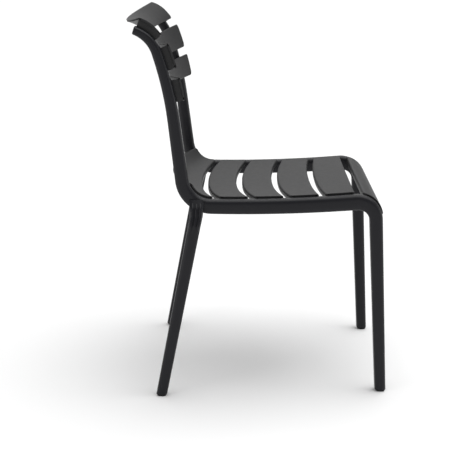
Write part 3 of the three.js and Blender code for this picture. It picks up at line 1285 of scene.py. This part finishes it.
@dataclass
class BackSlats:
    """Three bowed slats that stand off the posts on end webs."""

    path: MemberPath
    half: float = 204.5 * MM
    standoff: float = 19.3 * MM
    thickness: float = 4 * MM
    tall: tuple[float, float, float] = (49 * MM, 51 * MM, 46 * MM)
    gaps: tuple[float, float] = (17.5 * MM, 13 * MM)
    tip: float = 2.5 * MM
    bow: float = 40 * MM
    drops: tuple[float, float, float, float] = (5 * MM, 8 * MM, 11 * MM, 18 * MM)
    web_thickness: float = 7 * MM
    web_inset: float = 1 * MM
    web_below: float = 1.2 * MM
    web_above: float = 2.5 * MM
    web_corner: float = 6 * MM
    web_bite: float = 4 * MM
    lower_corners: tuple[float, float, float] = (7 * MM, 7 * MM, 10 * MM)
    upper_corner: float = 3 * MM
    rim_round: float = 1.2 * MM

    def _sheets(self) -> list[BowedSheet]:
        """Lays out the slats downwards from the tips of the posts.

        Returns:
            The sheets, lowest first.
        """
        sheets: list[BowedSheet] = []
        stop = self.path.start_of("end") - self.tip
        for row in (2, 1, 0):
            start = stop - self.tall[row]
            sheets.insert(0, BowedSheet(
                self.path, start, stop, self.standoff, self.half,
                (self.bow, -self.drops[row]), (self.bow, -self.drops[row + 1]),
                self.lower_corners[row], self.upper_corner, self.thickness, 0.0,
                self.rim_round,
            ))
            stop = start - (self.gaps[row - 1] if row else 0.0)
        return sheets

    def build(self, plastic: bpy.types.Material) -> None:
        """Builds the three slats with their webs, from the lowest.

        Args:
            plastic: their finish.
        """
        for sheet, row in zip(self._sheets(), ("lower", "middle", "upper")):
            board = sheet.build(f"back_board_{row}")
            webs = EndWall(
                sheet, self.half - self.web_inset, self.web_thickness, self.thickness / 2,
                self.standoff + self.web_bite, self.web_below, self.web_above,
                self.web_corner,
            ).build(f"back_web_{row}")
            piece = smoothed(joined(f"back_board_{row}", [board, *webs]))
            dressed(piece, plastic, Slot.SLAT, f"back_slat_{row}")


# ---- Foot glides ----


@dataclass
class FootGlides:
    """Rubber pads under the four feet, each with a stem up into its leg."""

    corner: float = 8 * MM
    corner_segments: int = 7
    # Rings from the floor up: height, and share of the full size. They leave a groove.
    rings: tuple[tuple[float, float], ...] = (
        (0.0, 0.94), (0.5 * MM, 1.0), (1.3 * MM, 1.0), (1.5 * MM, 0.96), (1.8 * MM, 0.96),
        (2.0 * MM, 1.0), (3.0 * MM, 1.0),
    )
    shoulder: float = 4.5 * MM
    stem_radius: float = 5 * MM
    stem_height: float = 15 * MM
    stem_tip: float = 1 * MM
    stem_tip_share: float = 0.8

    def _glide(self, name: str, node: str) -> bpy.types.Object:
        """Builds one glide in the place of its CAD node.

        Args:
            name: the piece's name.
            node: the CAD node.

        Returns:
            The closed glide.
        """
        low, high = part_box(node)
        centre = Vector(((low.x + high.x) / 2, (low.y + high.y) / 2, 0.0))
        across, along = high.x - low.x, high.y - low.y
        bench = Bench(name, centre, (across, along))
        bench.round_corners(self.corner, self.corner_segments)
        here, shown = centre, 1.0
        for height, share in self.rings:
            there = Vector((centre.x, centre.y, height))
            if height:
                bench.extrude(there - here)
            bench.swell((share / shown, share / shown, 1.0), there)
            here, shown = there, share
        bpy.ops.mesh.inset(thickness=self.shoulder, depth=0.0)
        wide, stem = 2 * self.shoulder, 2 * self.stem_radius
        bench.swell((stem / (across - wide), stem / (along - wide), 1.0), here)
        tip = Vector((centre.x, centre.y, self.stem_height - self.stem_tip))
        bench.extrude(tip - here)
        bench.extrude(Vector((0.0, 0.0, self.stem_tip)))
        bench.swell((self.stem_tip_share, self.stem_tip_share, 1.0), tip)
        return bench.close()

    def build(self, rubber: bpy.types.Material) -> None:
        """Builds the four glides.

        Args:
            rubber: their finish.
        """
        for end in ("front", "rear"):
            right = self._glide(f"{end}_pad_right", f"{end}_glide_right")
            dressed_pair(right, rubber, Slot.GLIDE, f"{end}_glide")


# ---- Studio ----


@dataclass
class Studio:
    """A pale floor, soft lights and the camera."""

    front_foot_y: float
    floor_size: float = 60.0
    floor_cuts: int = 5
    lens: float = 96.06
    sensor: float = 36.0
    far_clip: float = 200.0
    camera_x: float = -2.7277
    camera_behind_foot: float = 0.32784
    camera_height: float = 1.0446
    look: tuple[float, float, float] = (0.96606, 0.00299, -0.25829)

    def floor(self) -> None:
        """Lays the floor."""
        bench = Bench("floor", Vector((0.0, 0.0, 0.0)), (self.floor_size, self.floor_size))
        bpy.ops.mesh.subdivide(number_cuts=self.floor_cuts)
        bpy.ops.object.mode_set(mode="OBJECT")
        bench.piece.data.materials.append(PaleSweep().material())

    def hang(
        self, light: bpy.types.Light, place: tuple[float, float, float],
        aim: tuple[float, float, float] = (0.0, 0.0, 0.0),
    ) -> None:
        """Puts a light in its place, unseen by the camera.

        Args:
            light: the light.
            place: where it hangs.
            aim: what it points at.
        """
        holder = bpy.data.objects.new(light.name, light)
        bpy.context.scene.collection.objects.link(holder)
        holder.location = place
        holder.visible_camera = False
        holder.rotation_euler = (Vector(aim) - Vector(place)).to_track_quat("-Z", "Y").to_euler()

    def lamp(
        self, name: str, place: tuple[float, float, float], aim: tuple[float, float, float],
        size: float, watts: float,
    ) -> None:
        """Hangs one soft square light.

        Args:
            name: the light's name.
            place: where it hangs.
            aim: what it points at.
            size: the side of the square.
            watts: its power.
        """
        light = bpy.data.lights.new(name, "AREA")
        light.shape, light.size, light.energy = "SQUARE", size, watts
        self.hang(light, place, aim)

    def sky(self, place: tuple[float, float, float], spread: float, strength: float) -> None:
        """Adds a broad, far light that falls evenly on the whole floor.

        Args:
            place: the direction it comes from.
            spread: how wide it is, in degrees.
            strength: its power over a square metre.
        """
        light = bpy.data.lights.new("sky", "SUN")
        light.angle, light.energy = math.radians(spread), strength
        self.hang(light, place)

    def world(self, strength: float) -> None:
        """Fills the studio with even white light."""
        world = bpy.data.worlds.new("studio")
        world.use_nodes = True
        shade = world.node_tree.nodes["Background"]
        shade.inputs["Color"].default_value = (1.0, 1.0, 1.0, 1.0)
        shade.inputs["Strength"].default_value = strength
        bpy.context.scene.world = world

    def camera(self) -> None:
        """Places the camera beside the chair, a little above it."""
        data = bpy.data.cameras.new("camera")
        data.lens, data.sensor_width, data.sensor_fit = self.lens, self.sensor, "HORIZONTAL"
        data.clip_end = self.far_clip
        camera = bpy.data.objects.new("camera", data)
        bpy.context.scene.collection.objects.link(camera)
        place_y = self.front_foot_y + self.camera_behind_foot
        camera.location = (self.camera_x, place_y, self.camera_height)
        camera.rotation_euler = Vector(self.look).to_track_quat("-Z", "Y").to_euler()
        bpy.context.scene.camera = camera

    def build(self) -> None:
        """Sets up the whole studio."""
        self.camera()
        self.floor()
        self.world(0.42)
        self.sky((0.1, -0.25, 1.0), 70.0, 2.5)
        for name, place, aim, size, watts in (
            ("front", (-0.4, -3.6, 0.8), (0.0, 0.1, 0.5), 1.6, 16.0),
            ("rear", (-2.3, 2.9, 0.8), (0.0, 0.1, 0.4), 0.7, 14.0),
            ("rim", (3.6, -0.3, 1.75), (0.0, 0.0, 0.45), 1.8, 6.0),
        ):
            self.lamp(name, place, aim, size, watts)
        bpy.context.scene.view_settings.view_transform = "Standard"


def main() -> None:
    """Builds the chair piece by piece, then the studio round it."""
    logging.basicConfig(level=logging.INFO, format="%(message)s")
    low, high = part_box("front_glide_right")
    path = MemberPath(start_y=(low.y + high.y) / 2)
    # frame_plastic and slat_plastic are a shaded and a lit copy of one black plastic. The
    # frame's darker colour is painted shade for its side faces, and the slats' colour, about
    # five times lighter, is painted light for their upward faces.
    frame_plastic = MouldedPlastic(
        "frame_plastic", (0.0046, 0.0047, 0.0070), (0.0060, 0.0061, 0.0086),
        roughness=0.4, specular=0.28,
    ).material()
    # The slats' lighter colour is painted light: the same black plastic as the frame, lightened
    # for the light that falls on the slats' upward faces.
    slat_plastic = MouldedPlastic(
        "slat_plastic", (0.0225, 0.0225, 0.0231), (0.0262, 0.0262, 0.0268)
    ).material()
    rubber = GlideRubber().material()
    SideFrames(path).build(frame_plastic)
    RearLegs(path).build(frame_plastic)
    SeatSlats(path).build(slat_plastic)
    BackSlats(path).build(slat_plastic)
    FootGlides().build(rubber)
    Studio(front_foot_y=path.start_y).build()
    bpy.context.view_layer.update()


if __name__ == "__main__":
    main()
